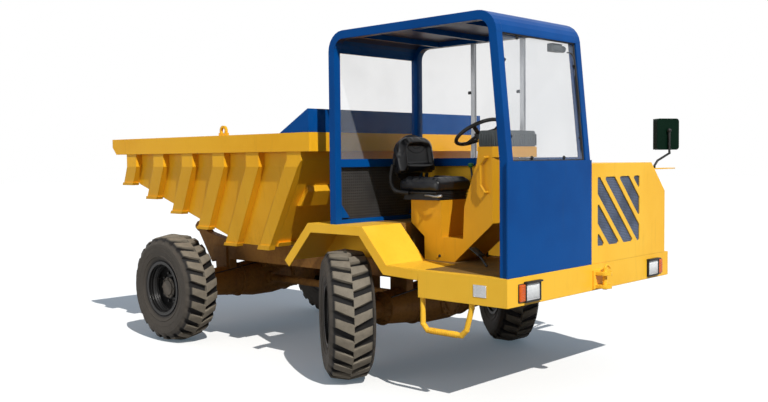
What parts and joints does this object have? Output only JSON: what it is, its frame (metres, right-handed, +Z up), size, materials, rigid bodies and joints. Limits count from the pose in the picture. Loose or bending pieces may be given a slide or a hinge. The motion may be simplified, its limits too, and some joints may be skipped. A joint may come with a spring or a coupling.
{
  "type": "site dumper",
  "caption": "Four-wheeled site dumper with a half-width open cab, a side engine hood, steered front wheels and a ribbed skip that tips to the rear.",
  "frame": {"origin": "on the ground under the middle of the machine's length and width", "axes": "+X forward to the cab end, +Y to the machine's left, +Z up"},
  "size_m": [4.94, 2.7819, 2.645],
  "materials": {
    "machine_yellow": "satin, dusty",
    "chassis_paint": "dusty",
    "cab_blue": "satin",
    "black_paint": "satin, dusty",
    "bright_rod": "polished",
    "engine_iron": "rough",
    "grey_mesh": "matt",
    "glazing": "clear",
    "lamp_lens": "fluted",
    "amber_lens": "clear lens",
    "bare_aluminium": "extruded",
    "black_plastic": "grained",
    "seat_vinyl": "vinyl, worn",
    "tyre_rubber": "dusty"
  },
  "bodies": {
    "chassis": {"chassis_frame": "chassis_paint", "front_axle": "chassis_paint", "rear_axle": "chassis_paint", "drive_shafts": "chassis_paint", "engine_block": "engine_iron", "bumper": "machine_yellow", "headlamps": "lamp_lens", "indicators": "amber_lens", "tow_jaw": "machine_yellow", "boarding_step": "machine_yellow", "fenders": "machine_yellow", "cab_floor": "machine_yellow", "cab_frame": "cab_blue", "cab_roof": "cab_blue", "front_panel": "cab_blue", "windscreen": "glazing", "side_window": "glazing", "rear_window": "glazing", "window_frames": "bare_aluminium", "rear_panel": "black_paint", "seat_pedestal": "machine_yellow", "seat_base": "black_plastic", "seat_cushion": "seat_vinyl", "seat_backrest": "seat_vinyl", "console": "machine_yellow", "instrument_hood": "black_plastic", "hood": "machine_yellow", "grille_mesh": "grey_mesh", "mirror_arm": "black_paint", "mirror_head": "black_plastic"},
    "skip": {"skip_shell": "machine_yellow", "skip_rim": "machine_yellow", "skip_ribs": "machine_yellow", "headboard": "cab_blue"},
    "cylinder_barrel": {"cylinder_barrel": "black_paint"},
    "cylinder_rod": {"cylinder_rod": "bright_rod"},
    "knuckle_right": {"knuckle_right": "chassis_paint"},
    "knuckle_left": {"knuckle_left": "chassis_paint"},
    "wheel_front_right": {"tyre_front_right": "tyre_rubber", "rim_front_right": "black_paint"},
    "wheel_front_left": {"tyre_front_left": "tyre_rubber", "rim_front_left": "black_paint"},
    "wheel_rear_right": {"tyre_rear_right": "tyre_rubber", "rim_rear_right": "black_paint"},
    "wheel_rear_left": {"tyre_rear_left": "tyre_rubber", "rim_rear_left": "black_paint"},
    "steering_wheel": {"steering_wheel": "black_plastic"},
    "hood_door": {"hood_door": "machine_yellow"}
  },
  "joints": [
    {"name": "skip_tip", "type": "hinge", "parent": "chassis", "child": "skip", "pos_m": [-1.95, 0, 1.02], "axis": [0, -1, 0], "range_deg": [0, 58]},
    {"name": "barrel_swing", "type": "hinge", "parent": "chassis", "child": "cylinder_barrel", "pos_m": [-1.35, 0, 0.66], "axis": [0, -1, 0], "range_deg": [0, 66]},
    {"name": "rod_slide", "type": "slide", "parent": "cylinder_barrel", "child": "cylinder_rod", "axis": [0.9779, 0, 0.2089], "range_m": [0, 0.659]},
    {"name": "steer_right", "type": "hinge", "parent": "chassis", "child": "knuckle_right", "pos_m": [0.8, -0.95, 0.5], "axis": [0, 0, 1], "range_deg": [0, 74]},
    {"name": "steer_left", "type": "hinge", "parent": "chassis", "child": "knuckle_left", "pos_m": [0.8, 0.95, 0.5], "axis": [0, 0, 1], "range_deg": [0, 74]},
    {"name": "spin_front_right", "type": "hinge", "parent": "knuckle_right", "child": "wheel_front_right", "pos_m": [0.7639, -0.9979, 0.5], "axis": [0.6018, 0.7986, 0], "continuous": true},
    {"name": "spin_front_left", "type": "hinge", "parent": "knuckle_left", "child": "wheel_front_left", "pos_m": [0.8361, 0.9979, 0.5], "axis": [0.6018, 0.7986, 0], "continuous": true},
    {"name": "spin_rear_right", "type": "hinge", "parent": "chassis", "child": "wheel_rear_right", "pos_m": [-1.53, -1.01, 0.5], "axis": [0, 1, 0], "continuous": true},
    {"name": "spin_rear_left", "type": "hinge", "parent": "chassis", "child": "wheel_rear_left", "pos_m": [-1.53, 1.01, 0.5], "axis": [0, 1, 0], "continuous": true},
    {"name": "steering_wheel_turn", "type": "hinge", "parent": "chassis", "child": "steering_wheel", "pos_m": [1.6, -0.42, 1.88], "axis": [-0.5, 0, 0.866], "continuous": true},
    {"name": "hood_door_swing", "type": "hinge", "parent": "chassis", "child": "hood_door", "pos_m": [2.183, 1.0594, 1.165], "axis": [0, 0, -1], "range_deg": [0, 100]}
  ],
  "couplings": [
    {"joint": "barrel_swing", "follows": "skip_tip", "ratio": 1.1163},
    {"joint": "rod_slide", "follows": "skip_tip", "m_per_rad": 0.64969},
    {"joint": "steer_left", "follows": "steer_right", "ratio": 1}
  ]
}
